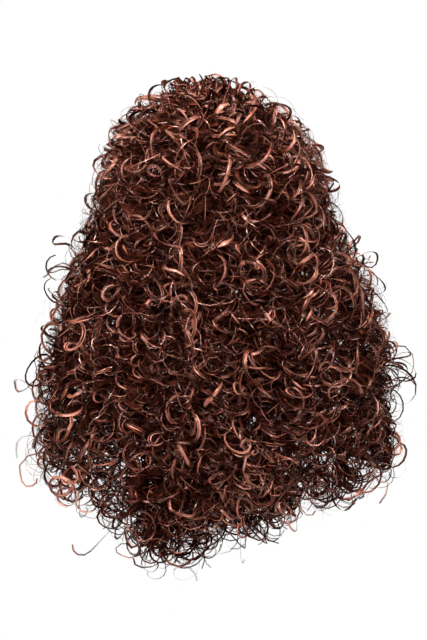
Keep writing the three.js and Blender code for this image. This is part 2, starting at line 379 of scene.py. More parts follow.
def cap_shell():
    rings, poles = cap_rings()
    outer_pole = len(rings) * CAP_COLUMNS
    inner_pole, last_ring = outer_pole + 1, outer_pole - CAP_COLUMNS
    down = np.linspace(0, OUTSIDE_MAP_END, CAP_ROWS + 1)[1:]
    up = np.linspace(INSIDE_MAP_START, 1, CAP_ROWS + 1)[:-1]
    levels = np.concatenate([down, up])
    faces, places = [], []
    for column in range(CAP_COLUMNS):
        left, right = column, (column + 1) % CAP_COLUMNS
        u_left, u_right = column / CAP_COLUMNS, (column + 1) / CAP_COLUMNS
        u_middle = (u_left + u_right) / 2
        faces.append((outer_pole, left, right))
        places += [(u_middle, 0.0), (u_left, levels[0]), (u_right, levels[0])]
        for row, (high, low) in enumerate(zip(levels, levels[1:])):
            here, below = row * CAP_COLUMNS, (row + 1) * CAP_COLUMNS
            faces.append((here + left, below + left, below + right, here + right))
            places += [(u_left, high), (u_left, low), (u_right, low), (u_right, high)]
        faces.append((last_ring + left, inner_pole, last_ring + right))
        places += [(u_left, levels[-1]), (u_middle, 1.0), (u_right, levels[-1])]
    mesh = bpy.data.meshes.new("cap_shell")
    mesh.from_pydata(np.concatenate([rings.reshape(-1, 3), poles]).tolist(), [], faces)
    mesh.uv_layers.new(name="OFBake").data.foreach_set("uv", np.ravel(places).astype(np.float32))
    mesh.polygons.foreach_set("use_smooth", [True] * len(faces))
    shell = bpy.data.objects.new("cap_shell", mesh)
    bpy.context.scene.collection.objects.link(shell)
    return shell


# %% Cap net
NET_MESH = 1.6
MAP_ROUND, MAP_DOWN = 534, 480
NET_COLOURS = [(0.35, (0.007, 0.004, 0.0035)), (0.8, (0.03, 0.016, 0.013))]


def new_finish(name):
    """A new material, its nodes and its shader."""
    material = bpy.data.materials.new(name)
    material.use_nodes = True
    return material, Nodes(material.node_tree), material.node_tree.nodes["Principled BSDF"]


def net_finish():
    material, nodes, shader = new_finish("stretch_net")
    uv = nodes.add("ShaderNodeUVMap", {"uv_map": "OFBake"})
    parted = nodes.add("ShaderNodeSeparateXYZ", None, {0: uv})
    round_way = parted.other("X") * (MAP_ROUND / NET_MESH)
    down_way = parted.other("Y") * (MAP_DOWN / NET_MESH)
    rising = ((round_way + down_way) * math.pi).math("SINE").math("ABSOLUTE")
    falling = ((round_way - down_way) * math.pi).math("SINE").math("ABSOLUTE")
    threads = 1 - rising.math("MINIMUM", falling)
    relief = {"Strength": 0.5, "Distance": 0.0004, "Height": threads}
    nodes.feed(shader, {
        "Base Color": nodes.add("ShaderNodeValToRGB", {"stops": NET_COLOURS}, {"Fac": threads}),
        "Normal": nodes.add("ShaderNodeBump", None, relief),
        "Roughness": 0.85,
        "Specular IOR Level": 0.1,
    })
    return material


cap = cap_shell()
cap.data.materials.append(net_finish())
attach(cap, "root")
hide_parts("cap")
print("cap:", count_triangles(cap), "triangles")

# %% [markdown]
# The cap's edge is bound with soft elastic, and inside it the wefts are sewn along rows of
# narrow tape. The bands are swept along lines on the cap by nodes, which also lay a zigzag of
# stitches along each. A stitch is one small bead of thread, copied to every place.

# %% The nodes for sewn bands
BAND_SIDES = 8
THREAD_SHARE = 0.22
STITCH_SLANT, STITCH_WOBBLE = 1.6, 0.2


def painted(nodes, geometry, material):
    return nodes.add("GeometryNodeSetMaterial", None, {"Geometry": geometry, "Material": material})


def swept_band(nodes, given, curve):
    circle = {"Resolution": BAND_SIDES, "Radius": 0.5}
    profile = nodes.add("GeometryNodeCurvePrimitiveCircle", {"mode": "RADIUS"}, circle)
    flat = nodes.xyz(given.other("Band thickness"), given.other("Band width"), 1.0)
    profile = nodes.add("GeometryNodeTransform", None, {"Geometry": profile, "Scale": flat})
    sweep = {"Curve": curve, "Profile Curve": profile, "Fill Caps": True}
    band = nodes.add("GeometryNodeCurveToMesh", None, sweep)
    return painted(nodes, band, given.other("Band material"))


def laid_stitches(nodes, given, curve):
    spaced = {"Curve": curve, "Length": given.other("Stitch spacing")}
    points = nodes.add("GeometryNodeCurveToPoints", {"mode": "LENGTH"}, spaced)
    inwards = nodes.scaled(points.other("Normal"), given.other("Band thickness") * -0.5)
    placed = nodes.add("GeometryNodeSetPosition", None, {"Geometry": points, "Offset": inwards})
    bead = nodes.add("GeometryNodeMeshUVSphere", None, {"Segments": 5, "Rings": 3, "Radius": 0.5})
    length = given.other("Stitch length")
    shape = nodes.xyz(length * THREAD_SHARE, length * THREAD_SHARE, length)
    bead = nodes.add("GeometryNodeTransform", None, {"Geometry": bead, "Scale": shape})
    copied = {"Points": placed, "Instance": bead, "Rotation": points.other("Rotation")}
    stitches = nodes.add("GeometryNodeInstanceOnPoints", None, copied)
    index = nodes.add("GeometryNodeInputIndex")
    spread = {2: -STITCH_WOBBLE, 3: STITCH_WOBBLE, "ID": index, "Seed": given.other("Seed")}
    wobble = nodes.add("FunctionNodeRandomValue", {"data_type": "FLOAT"}, spread, output=1)
    slant = (index.math("MODULO", 2.0) - 0.5) * STITCH_SLANT + wobble
    turned = {"Instances": stitches, "Rotation": nodes.xyz(slant, 0.0, 0.0)}
    stitches = nodes.add("GeometryNodeRotateInstances", None, turned)
    stitches = nodes.add("GeometryNodeRealizeInstances", None, {"Geometry": stitches})
    return painted(nodes, stitches, given.other("Thread material"))


def band_tree():
    tree = new_tree(
        "sewn_bands",
        {
            "Band width": "NodeSocketFloat",
            "Band thickness": "NodeSocketFloat",
            "Stitch spacing": "NodeSocketFloat",
            "Stitch length": "NodeSocketFloat",
            "Seed": "NodeSocketInt",
            "Band material": "NodeSocketMaterial",
            "Thread material": "NodeSocketMaterial",
        },
    )
    nodes = Nodes(tree)
    given = nodes.add("NodeGroupInput")
    facing = nodes.named_value("facing", "FLOAT_VECTOR")
    curve = nodes.add("GeometryNodeMeshToCurve", None, {"Mesh": given})
    curve = nodes.facing(curve, facing)
    whole = nodes.add("GeometryNodeJoinGeometry")
    for part in (swept_band(nodes, given, curve), laid_stitches(nodes, given, curve)):
        tree.links.new(part.socket, whole.socket.node.inputs["Geometry"])
    whole = nodes.add("GeometryNodeSetShadeSmooth", None, {"Geometry": whole})
    nodes.add("NodeGroupOutput", None, {"Geometry": whole})
    return tree


sewn_bands = band_tree()
print("band nodes:", len(sewn_bands.nodes))

# %% Bound edge and sewn tapes
LINE_STEPS = 144
EDGE_MARGIN = 3
BINDING_WIDTH = 6.4
TAPE_ROWS = range(30, 226, 24)
STITCH_SEED = 3


def cloth_finish(name, dark, light, weave):
    material, nodes, shader = new_finish(name)
    place = nodes.add("ShaderNodeTexCoord", None, None, output="Object")
    grain = nodes.add("ShaderNodeTexNoise", None, {"Vector": place, "Scale": weave, "Detail": 3.0})
    stops = [(0.3, dark), (0.7, light)]
    relief = {"Strength": 0.4, "Distance": 0.0003, "Height": grain}
    nodes.feed(shader, {
        "Base Color": nodes.add("ShaderNodeValToRGB", {"stops": stops}, {"Fac": grain}),
        "Normal": nodes.add("ShaderNodeBump", None, relief),
        "Roughness": 0.85,
        "Specular IOR Level": 0.2,
    })
    return material


def cap_lines(rows, lift):
    """Points, edges and outward directions of lines on the cap. The rows are ways for azimuths."""
    azimuth = np.arange(LINE_STEPS) * 360.0 / LINE_STEPS - 90
    nothing = np.zeros_like(azimuth)
    here = np.arange(LINE_STEPS)
    there = (here + 1) % LINE_STEPS
    points, edges, facing = [], [], []
    for way in rows(azimuth):
        inside = way < cap_edge(azimuth) - EDGE_MARGIN
        kept = inside & inside[there]
        start = len(points) * LINE_STEPS
        edges += np.stack([start + here, start + there], axis=1)[kept].tolist()
        points.append(hair_point(azimuth, way, nothing, lift=lift))
        lifted = hair_point(azimuth, way, nothing, lift=1)
        facing.append((lifted - hair_point(azimuth, way, nothing)) / MM)
    return np.concatenate(points), edges, np.concatenate(facing)


elastic = cloth_finish("elastic_band", (0.012, 0.007, 0.006), (0.03, 0.017, 0.014), 900.0)
thread = cloth_finish("sewing_thread", (0.03, 0.018, 0.014), (0.07, 0.04, 0.03), 1500.0)
BANDS = {
    "cap_binding": dict(
        rows=lambda azimuth: [cap_edge(azimuth) - BINDING_WIDTH / 2],
        lift=-CAP_WALL / 2, width=BINDING_WIDTH, thickness=2.8, spacing=3.2, stitch=3.4,
    ),
    "weft_tapes": dict(
        rows=lambda azimuth: [np.full_like(azimuth, row) for row in TAPE_ROWS],
        lift=-CAP_WALL - 0.2, width=5.0, thickness=0.9, spacing=4.0, stitch=4.2,
    ),
}
for name, sizes in BANDS.items():
    points, edges, facing = cap_lines(sizes["rows"], sizes["lift"])
    lines = line_object(name + "_lines", points, edges, vectors={"facing": facing})
    sockets = {
        "Band width": sizes["width"] * MM,
        "Band thickness": sizes["thickness"] * MM,
        "Stitch spacing": sizes["spacing"] * MM,
        "Stitch length": sizes["stitch"] * MM,
        "Seed": STITCH_SEED,
        "Band material": elastic,
        "Thread material": thread,
    }
    band = made_by_nodes(lines, sewn_bands, name, sockets)
    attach(band, "root")
    print(name, count_triangles(band), "triangles")

# %% [markdown]
# The hair lies in layers. Hair from the nape is innermost, hair from the sides and the back of
# the cap lies over it, and hair from the crown covers them. Each layer is a range of shares of
# the hair's depth, which opens where the layer's roots begin. The hem is a table of levels
# round the head, so that it can fall to a point on one side, as it does here.

# %% The layers and the hem
LAYER_RISE = 85
UNDER_SHARE, MIDDLE_SHARE = 0.34, 0.39
NAPE_ROOT, BACK_ROOT, SIDE_ROOT = 205, 112, 138
HEM = {
    "azimuth": (-60, 0, 12, 22, 30, 36, 41, 47, 56, 70, 95, 118, 134, 146, 160, 170, 180, 240),
    "lowest": (
        -345, -386, -406, -423, -441, -463, -482, -491, -489,
        -477, -460, -446, -450, -434, -417, -406, -388, -345,
    ),
    "layer_step": (0, 0, 5, 8, 12, 18, 24, 30, 34, 34, 32, 28, 25, 20, 15, 8, 0, 0),
}


def smooth_rise(value, start, end):
    share = np.clip((value - start) / (end - start), 0, 1)
    return share * share * (3 - 2 * share)


def layer_bounds(layer, way):
    """The shares of the hair's depth between which a layer lies, at ways down from the crown."""
    under = UNDER_SHARE * smooth_rise(way, NAPE_ROOT, NAPE_ROOT + LAYER_RISE)
    middle = under + MIDDLE_SHARE * smooth_rise(way, BACK_ROOT, BACK_ROOT + LAYER_RISE)
    bounds = {
        "under": (np.zeros_like(way), under),
        "side": (np.zeros_like(way), middle),
        "middle": (under, middle),
        "outer": (middle, np.ones_like(way)),
    }
    return bounds[layer]


def hem_level(azimuth, layer):
    lowest = np.interp(azimuth, HEM["azimuth"], HEM["lowest"])
    return lowest + layer * np.interp(azimuth, HEM["azimuth"], HEM["layer_step"])


print("lowest tip of the hem at", min(HEM["lowest"]) * MM, "m")

# %% [markdown]
# Each lock of hair follows a spine, a line from its root on the cap to its tip at the hem.
# Real locks never hang straight, so each spine wanders: a few slow waves push it to the side
# and in and out. A spine could be drawn by hand, but there are hundreds, so each weft has a row
# of settings instead, and seeded random numbers do the rest. The spines of one weft are kept as
# plain edges with named values, such as how wide and how tight the lock's curl is.

# %% Where a lock begins and ends
HANGING = 0.3
SHORTER_LEAST = 8


def own_side(side, azimuth):
    """Azimuths are given for the left side, and the right side mirrors them."""
    return 180 - azimuth if side == "right" else azimuth


def crown_roots(weft, place, random):
    """Azimuths and ways down of roots on the top of the cap, beside the parting."""
    x = random.uniform(0, 1, len(place)) ** 1.5 * weft["aside"] - weft["across"]
    y = weft["front"] + (weft["back"] - weft["front"]) * place
    azimuth = np.degrees(np.arctan2(y, x))
    level = np.full_like(x, WIDEST_LEVEL)
    flat = hair_radius("in", np.radians(azimuth), np.zeros_like(x), level)
    height = DOME_TOP["in"] * np.sqrt(np.clip(1 - (np.hypot(x, y) / flat) ** 2, 0, 1))
    return azimuth, QUARTER_TURN * (1 - np.arctan2(height, np.hypot(x, y)) / (np.pi / 2))


def lock_ends(weft, side, random):
    """The azimuth and way down of each root, and the azimuth and level of each tip."""
    count = weft["locks"]
    place = ((np.arange(count) + random.uniform(0, 1, count)) / count) ** weft.get("crowd", 1.0)
    hem_to = weft["hem_to"] + (-weft["seam_shift"] if side == "right" else weft["seam_shift"])
    hem_azimuth = weft["hem_from"] + (hem_to - weft["hem_from"]) * place
    hem_azimuth = hem_azimuth + random.normal(0, weft["fan"], count)
    if "front" in weft:
        root_azimuth, root_way = crown_roots(weft, place, random)
    else:
        root_azimuth = weft["root_from"] + (hem_to - weft["root_from"]) * place
        root_way = weft["root_way"] + random.uniform(*weft["root_spread"], count)
    hangs = random.uniform(0, 1, count) < HANGING
    shorter = SHORTER_LEAST + random.uniform(0, 1, count) ** 1.5 * weft["shorter"]
    hem = hem_level(own_side(side, hem_azimuth), weft["hem"])
    hem = hem + np.where(hangs, 0, shorter) + weft.get("raised_hem", 0)
    if "length" in weft:
        length = random.uniform(*weft["length"], count)
        hem = np.maximum(QUARTER_TURN + WIDEST_LEVEL - root_way - length, hem + 5)
    return root_azimuth, root_way, hem_azimuth, hem


# %% How deep a lock lies
LOWER_SLIM = {"left": 0.14, "right": 0.0, "comes": (200, 330)}
UPPER_SLIM = {"left": 0.27, "right": 0.33, "comes": (20, 70), "goes": (110, 170)}
FULLER = {"left": 0.0, "right": 0.07, "comes": (190, 280), "goes": (310, 380)}
TOP_LOCK, TOP_FILL, TOP_FILL_GOES = 0.65, 0.95, (60, 170)
BACK_TUCK = 1.4
CLEARANCE = 5
SUNK, SUNK_BELOW = 1.2, 0.85


def come_and_go(change, side, way):
    """A change of the form on one side, which comes and goes on the way down."""
    come = change[side] * smooth_rise(way, *change["comes"])
    return come * (1 - smooth_rise(way, *change["goes"]))


def lock_shares(weft, side, depth, along, way):
    """The share of the hair's depth at which each point of a spine lies."""
    low, high = layer_bounds(weft["layer"], way)
    deep = depth[:, None]
    if weft["layer"] == "outer":
        raised = np.where(depth > TOP_LOCK, np.maximum(TOP_FILL - depth, 0), 0)[:, None]
        deep = deep + raised * (1 - smooth_rise(way, *TOP_FILL_GOES))
    share = low + (high - low) * deep
    risen = np.maximum(smooth_rise(along, 0, weft["rise"]), weft.get("raised", 0))
    share *= risen * (1 - LOWER_SLIM[side] * smooth_rise(way, *LOWER_SLIM["comes"]))
    share *= 1 - come_and_go(UPPER_SLIM, side, way)
    return share


def curl_room(weft, curl, depth, along, turn):
    """How far below the outside of the hair a spine stays, so that its curl has room."""
    tuck = weft["tuck"] + np.maximum(BACK_TUCK - weft["tuck"], 0) * np.clip(np.sin(turn), 0, 1) ** 2
    sunk = 1 + SUNK * np.maximum(SUNK_BELOW - depth, 0)[:, None]
    return (curl + CLEARANCE)[:, None] * smooth_rise(along, -0.05, 0.35) * tuck * sunk


# %% The spines of the locks
SPINE_POINTS = 64
SPREAD_RATE = 7
COILED_TIP, COIL_SQUEEZE = 0.14, 0.4
ROOT_LIFT = 2
FULLER_REACH = 11
TOP_SHIFT, TOP_SHIFT_GOES = 7, (50, 150)
SWAY_WAVES, HEAVE_WAVES = (70, 180), (50, 120)


def waves(random, distance, lengths, count=3):
    """Slow random waves along each line, of height 1 or less."""
    total = np.zeros_like(distance)
    for _ in range(count):
        wavelength = random.uniform(*lengths, size=(len(distance), 1))
        phase = random.uniform(0, 2 * np.pi, size=(len(distance), 1))
        total += np.sin(2 * np.pi * distance / wavelength + phase)
    return total / count


def lock_spines(weft, side, curl, depth, random):
    """The points of a weft's spines and their outward directions, as locks by points by 3."""
    root_azimuth, root_way, hem_azimuth, hem = lock_ends(weft, side, random)
    along = np.linspace(0, 1, SPINE_POINTS)[None, :]
    bend = (root_azimuth - hem_azimuth)[:, None] * (1 - along) ** SPREAD_RATE
    azimuth = own_side(side, hem_azimuth[:, None] + bend)
    reach = (QUARTER_TURN + WIDEST_LEVEL - hem - root_way) / (1 - COILED_TIP * COIL_SQUEEZE)
    way = root_way[:, None] + reach[:, None] * along
    turn = np.radians(azimuth)
    fuller = come_and_go(FULLER, side, way) * np.cos(turn) ** 2
    share = lock_shares(weft, side, depth, along, way) * (1 + fuller)
    room = curl_room(weft, curl, depth, along, turn) * (1 - FULLER_REACH * fuller)
    points = hair_point(azimuth, way, share, lift=ROOT_LIFT, room=room)
    points[..., 0] += TOP_SHIFT * MM * share * (1 - smooth_rise(way, *TOP_SHIFT_GOES))

    tilt = np.maximum(1 - way / QUARTER_TURN, 0) * (np.pi / 2)
    sideways = np.stack([-np.sin(turn), np.cos(turn), 0 * turn], axis=-1)
    flat_out = np.cos(tilt) * np.cos(turn), np.cos(tilt) * np.sin(turn)
    outwards = np.stack([*flat_out, np.sin(tilt)], axis=-1)
    loose, tip = smooth_rise(along, 0.03, 0.35), smooth_rise(along, 0.82, 1.0)
    flick = tip * random.uniform(-0.4, 1.0, (len(way), 1)) * weft["flick"]
    aside = tip * random.uniform(-1.0, 1.0, (len(way), 1)) * weft["flick"]
    distance = way - root_way[:, None]
    sway = loose * waves(random, distance, SWAY_WAVES) * weft["sway"] + aside
    heave = loose * (waves(random, distance, HEAVE_WAVES) - 0.3) * weft["heave"] + flick
    points += sideways * (sway * MM)[..., None]
    points += outwards * (heave * MM)[..., None]
    return points, outwards


def spine_object(name, points, outwards, values):
    locks, steps = points.shape[:2]
    start = np.arange(locks * steps).reshape(locks, steps)
    edges = np.stack([start[:, :-1].ravel(), start[:, 1:].ravel()], axis=1)
    repeated = {key: np.repeat(value, steps) for key, value in values.items()}
    return line_object(name, points, edges, repeated, {"out": outwards})


# %% [markdown]
# The nodes that curl the hair. Each spine becomes a curve, which is copied once for every strand
# of its lock. A strand winds round its spine like a spring: at every point it steps aside by the
# curl's radius, and the direction of that step turns with the length. The curl is tight at the
# root, opens further down, and ends in a ring. The strands of a lock lie side by side as one
# ribbon that twists along the curl, and the last of them are fine and stray from it. Blender's
# hair curves would be quicker, but the export keeps meshes only, so a flat line is swept along
# each strand, which takes only two triangles for each step.

# %% Words for the ringlet nodes
TURN = 2 * math.pi


class StrandNodes(Nodes):
    """A node tree under construction that works on strands, with the fields that its steps share."""

    def __init__(self, tree):
        super().__init__(tree)
        self.given = self.add("NodeGroupInput")
        self.factor = self.add("GeometryNodeSplineParameter")
        self.length = self.factor.other("Length")
        self.whole_length = self.add("GeometryNodeSplineLength")
        self.phase = self.named_value("phase")
        self.strand = self.copy = None

    def random(self, low, high, extra):
        """A random number for each strand. The extra makes each use of it differ."""
        sockets = {2: low, 3: high, "ID": self.strand, "Seed": self.given.other("Seed") + extra}
        return self.add("FunctionNodeRandomValue", {"data_type": "FLOAT"}, sockets, output=1)

    def noise(self, wavelength, *starts):
        """A slow change along a strand, to either side of 0."""
        place = self.length / wavelength
        for start in starts:
            place = place + start
        sockets = {"W": place, "Scale": 1.0, "Detail": 0.0}
        return self.add("ShaderNodeTexNoise", {"noise_dimensions": "1D"}, sockets) - 0.5

    def change(self, place, start, end, first, last):
        """A smooth change from a first value to a last one, between two places."""
        sockets = {"Value": place, "From Min": start, "From Max": end, "To Min": first, "To Max": last}
        return self.add("ShaderNodeMapRange", {"interpolation_type": "SMOOTHSTEP"}, sockets)

    def blend(self, first, second, turned):
        """The first direction, turned by an angle towards the second."""
        near = self.scaled(first, turned.math("COSINE"))
        return self.vector("ADD", near, self.scaled(second, turned.math("SINE")))

    def store(self, geometry, name, value, data_type, domain="POINT"):
        settings = {"data_type": data_type, "domain": domain}
        sockets = {"Geometry": geometry, "Name": name, "Value": value}
        return self.add("GeometryNodeStoreNamedAttribute", settings, sockets)


def copied_spines(nodes):
    """The spines as curves, with a few points for each turn, copied for every strand."""
    curve = nodes.add("GeometryNodeMeshToCurve", None, {"Mesh": nodes.given})
    turns = nodes.whole_length / nodes.named_value("pitch")
    count = turns * nodes.given.other("Points per turn")
    curve = nodes.add("GeometryNodeResampleCurve", {"mode": "COUNT"}, {"Curve": curve, "Count": count})
    sockets = {"Geometry": curve, "Amount": nodes.named_value("strands")}
    curve = nodes.add("GeometryNodeDuplicateElements", {"domain": "SPLINE"}, sockets)
    index = nodes.add("GeometryNodeInputIndex")
    curve = nodes.add(
        "GeometryNodeCaptureAttribute",
        {"domain": "CURVE", "captures": {"Strand": "FLOAT", "Copy": "FLOAT"}},
        {"Geometry": curve, "Strand": index, "Copy": curve.other("Duplicate Index")},
    )
    nodes.strand, nodes.copy = curve.other("Strand"), curve.other("Copy")
    return curve


# %% The winding of a strand
TIGHTER_TIP = 0.25


def curl_radius(nodes):
    opening = nodes.change(nodes.length, 0.0, 0.07, 0.35, 1.1)
    uneven = nodes.noise(0.1, nodes.phase * 11.0) * 0.6 + 1.0
    ring = nodes.change(nodes.factor, 0.6, 0.9, 1.0, 1.15)
    return nodes.named_value("curl") * opening * uneven * ring


def curl_angle(nodes):
    factor = nodes.factor
    tightened = (factor + factor * factor * TIGHTER_TIP) / (1 + TIGHTER_TIP)
    wound = tightened * nodes.whole_length / nodes.named_value("pitch")
    unsteady = nodes.noise(0.1, nodes.phase * 7.0) * 2.4
    return (wound * TURN + unsteady) * nodes.named_value("turn") + nodes.phase


def curl_directions(nodes):
    """The way along the spine, the step aside from it, and the axis of the curl."""
    tangent = nodes.add("GeometryNodeInputTangent")
    out = nodes.named_value("out", "FLOAT_VECTOR")
    binormal = nodes.vector("NORMALIZE", nodes.vector("CROSS_PRODUCT", tangent, out))
    normal = nodes.vector("CROSS_PRODUCT", binormal, tangent)
    ringed = nodes.change(nodes.factor, 0.75, 0.95, 0.0, 1.0)
    steady = 1 - ringed * 0.7
    loosened = nodes.change(nodes.length, 0.03, 0.16, 0.35, 1.0)
    rocking = nodes.noise(0.14, nodes.phase * 5.0) * 1.2 * steady
    lean = nodes.named_value("lean") * loosened * (1 - ringed) + ringed * 1.3 + rocking
    roll = nodes.named_value("roll") + nodes.noise(0.2, nodes.phase * 9.0) * 1.8 * steady
    across = nodes.blend(binormal, nodes.scaled(normal, -1.0), roll)
    tipped = nodes.blend(nodes.blend(normal, binormal, roll), tangent, lean)
    radial = nodes.blend(tipped, across, curl_angle(nodes))
    return tangent, radial, nodes.vector("CROSS_PRODUCT", tipped, across)


def strand_step(nodes, fine):
    """The step from the spine to a strand, and the direction that its ribbon faces."""
    tangent, radial, axis = curl_directions(nodes)
    gathered = nodes.change(nodes.length, 0.0, 0.05, 0.5, 1.0)
    bundle = nodes.named_value("bundle") * gathered * nodes.change(nodes.factor, 0.5, 0.88, 1.0, 0.7)
    stray = nodes.given.other("Looseness") * (1 + fine * 3.0)
    place = (nodes.copy + 0.5) / nodes.named_value("strands") * 2.0 - 1.0
    aside = place + nodes.random(-0.15, 0.15, 1) + nodes.noise(0.07, nodes.random(0, 60, 3)) * stray
    ahead = nodes.random(-0.15, 0.15, 2) + nodes.noise(0.07, nodes.random(0, 60, 4)) * stray
    twist = nodes.named_value("twist") + nodes.noise(0.06, nodes.phase * 17.0) * 5.0
    breadth = nodes.blend(axis, nodes.scaled(radial, -1.0), twist)
    facing = nodes.blend(radial, axis, twist)
    squeezed = nodes.change(nodes.factor, 1 - COILED_TIP, 1.0, 0.0, COILED_TIP * COIL_SQUEEZE)
    coil = squeezed * nodes.whole_length * -1.0
    offset = nodes.scaled(radial, curl_radius(nodes))
    for direction, step in ((breadth, aside * bundle), (facing, ahead * bundle), (tangent, coil)):
        offset = nodes.vector("ADD", offset, nodes.scaled(direction, step))
    return offset, nodes.blend(facing, breadth, nodes.random(-0.45, 0.45, 7))


# %% The ribbon of a strand


def strand_size(nodes, along, fine):
    root = nodes.change(along, 0.0, 0.05, 0.6, 1.0)
    tip = nodes.change(along, 0.94, 1.0, 1.0, 0.45)
    taper = root * tip * nodes.change(along, 0.55, 0.9, 1.0, nodes.named_value("thin_tip"))
    pinched = nodes.noise(0.05, nodes.random(0, 80, 8)) * 0.7 + 1.0
    return nodes.named_value("width") * taper * nodes.random(0.6, 1.3, 5) * pinched * (1 - fine * 0.7)


def strand_tone(nodes, fine):
    """How pale a strand is, with painted highlights as short bright patches, fine strands painted
    paler as glints, and darker half-way down.
    """
    factor = nodes.factor
    dip = nodes.change(factor, 0.35, 0.6, 0.0, 0.14) * nodes.change(factor, 0.8, 0.95, 1.0, 0.0)
    # The short bright patches along a strand are painted highlights, where a curl would catch the
    # light.
    painted_highlights = nodes.noise(0.022, nodes.phase * 13.0, nodes.random(0, 0.6, 9)) * 2.8
    # Fine strands are painted paler here, as painted glints on single fibres.
    patchy = painted_highlights + fine * 0.5 - dip
    return nodes.named_value("tone") + nodes.random(-0.6, 0.6, 6) + patchy


def swept_ribbons(nodes, curve, along, size):
    """Ribbons along the strands, with a map named OFBake and another for the streaks of fibres."""
    half = nodes.xyz(0.0, nodes.given.other("Strand width") * 0.5, 0.0)
    ends = {"Start": nodes.scaled(half, -1.0), "End": half}
    line = nodes.add("GeometryNodeCurvePrimitiveLine", None, ends)
    profile = nodes.add(
        "GeometryNodeCaptureAttribute",
        {"domain": "POINT", "captures": {"Across": "FLOAT"}},
        {"Geometry": line, "Across": nodes.add("GeometryNodeSplineParameter")},
    )
    across = profile.other("Across")
    sweep = {"Curve": curve, "Profile Curve": profile, "Scale": size}
    mesh = nodes.add("GeometryNodeCurveToMesh", None, sweep)
    fibres = across * (nodes.named_value("width") * 0.5 + 1.2) + nodes.strand * 7.3
    mesh = nodes.store(mesh, "fibres", nodes.xyz(fibres, along, 0.0), "FLOAT_VECTOR")
    counted = {"component": "CURVE"}, {"Geometry": curve}
    count = nodes.add("GeometryNodeAttributeDomainSize", *counted, output="Spline Count")
    column = (nodes.strand + 0.1 + across * 0.8) / count
    return nodes.store(mesh, "OFBake", nodes.xyz(column, along, 0.0), "FLOAT2", "CORNER")


def ringlet_tree():
    tree = new_tree(
        "ringlets",
        {
            "Strand width": "NodeSocketFloat",
            "Looseness": "NodeSocketFloat",
            "Points per turn": "NodeSocketFloat",
            "Seed": "NodeSocketInt",
            "Material": "NodeSocketMaterial",
        },
    )
    nodes = StrandNodes(tree)
    curve = copied_spines(nodes)
    first_fine = nodes.named_value("fine") * -1.0 - 0.5
    fine = (nodes.copy - nodes.named_value("strands")).math("GREATER_THAN", first_fine)
    offset, facing = strand_step(nodes, fine)
    curve = nodes.add(
        "GeometryNodeCaptureAttribute",
        {"domain": "POINT", "captures": {"Facing": "VECTOR", "Factor": "FLOAT"}},
        {"Geometry": curve, "Facing": facing, "Factor": nodes.factor},
    )
    facing, along = curve.other("Facing"), curve.other("Factor")
    curve = nodes.add("GeometryNodeSetPosition", None, {"Geometry": curve, "Offset": offset})
    curve = nodes.facing(curve, facing)
    curve = nodes.store(curve, "tone", strand_tone(nodes, fine), "FLOAT")
    mesh = swept_ribbons(nodes, curve, along, strand_size(nodes, along, fine))
    mesh = nodes.add("GeometryNodeSetShadeSmooth", None, {"Geometry": mesh})
    mesh = nodes.add("GeometryNodeRealizeInstances", None, {"Geometry": mesh})
    mesh = painted(nodes, mesh, nodes.given.other("Material"))
    nodes.add("NodeGroupOutput", None, {"Geometry": mesh})
    return tree


ringlets = ringlet_tree()
print("ringlet nodes:", len(ringlets.nodes))

# %% [markdown]
# The hair's finish. Synthetic hair is glossy, with copper strands among dark brown ones. The
# nodes gave every strand a tone, and a ramp turns it into a colour. A dark strand mirrors light
# in its own colour, so it is metallic. A pale one is glossy instead, with a copper tint. Fine
# streaks along the ribbon stand for the single fibres. The hidden hair has a matt finish of its
# own, so that little light comes back from the depths, and thin flyaway fibres a glossier one.

# %% Hair finish
# The tone that picks a colour here holds painted highlights and painted shade as well as each strand's
# own colour.
HAIR_COLOURS = [
    (0.0, (0.013, 0.0018, 0.0008)),
    (0.4, (0.052, 0.0085, 0.0035)),
    (0.7, (0.165, 0.033, 0.014)),
    (0.85, (0.215, 0.06, 0.032)),
    (1.0, (0.275, 0.107, 0.073)),
]
PALE_TONES = {"From Min": -0.2, "From Max": 0.35, "To Min": 0.0, "To Max": 1.0}
FIBRE_STRETCH = (1.0, 9.0, 1.0)


def hair_finish(name, dullness, gloss, tint, metal=1.0):
    material, nodes, shader = new_finish(name)
    tone = nodes.add("ShaderNodeAttribute", {"attribute_name": "tone"}, None, output="Fac")
    fibres = nodes.add("ShaderNodeAttribute", {"attribute_name": "fibres"}, None, output="Vector")
    stretched = nodes.add("ShaderNodeMapping", None, {"Vector": fibres, "Scale": FIBRE_STRETCH})
    grain = {"Vector": stretched, "Scale": 1.0, "Detail": 2.0}
    streak = nodes.add("ShaderNodeTexNoise", None, grain)
    shade = tone + (streak - 0.5) * 2.2
    pale = nodes.add("ShaderNodeMapRange", None, {"Value": tone, **PALE_TONES})
    relief = {"Strength": 0.3, "Distance": 0.0004, "Height": streak}
    nodes.feed(shader, {
        "Base Color": nodes.add("ShaderNodeValToRGB", {"stops": HAIR_COLOURS}, {"Fac": shade}),
        "Metallic": metal - pale * (0.8 * metal),
        "Roughness": streak * 0.2 + (1 - pale) * 0.3 + dullness,
        "Normal": nodes.add("ShaderNodeBump", None, relief),
        "Specular IOR Level": gloss,
        "Specular Tint": (*tint, 1),
    })
    return material


auburn = hair_finish("auburn_hair", 0.3, 0.55, (1.0, 0.82, 0.74))
shaded = hair_finish("shaded_hair", 0.4, 0.1, (1.0, 0.5, 0.35), metal=0.0)
flyaway = hair_finish("flyaway_hair", 0.12, 0.8, (1.0, 0.88, 0.84))
print("hair finishes:", auburn.name, shaded.name, flyaway.name)
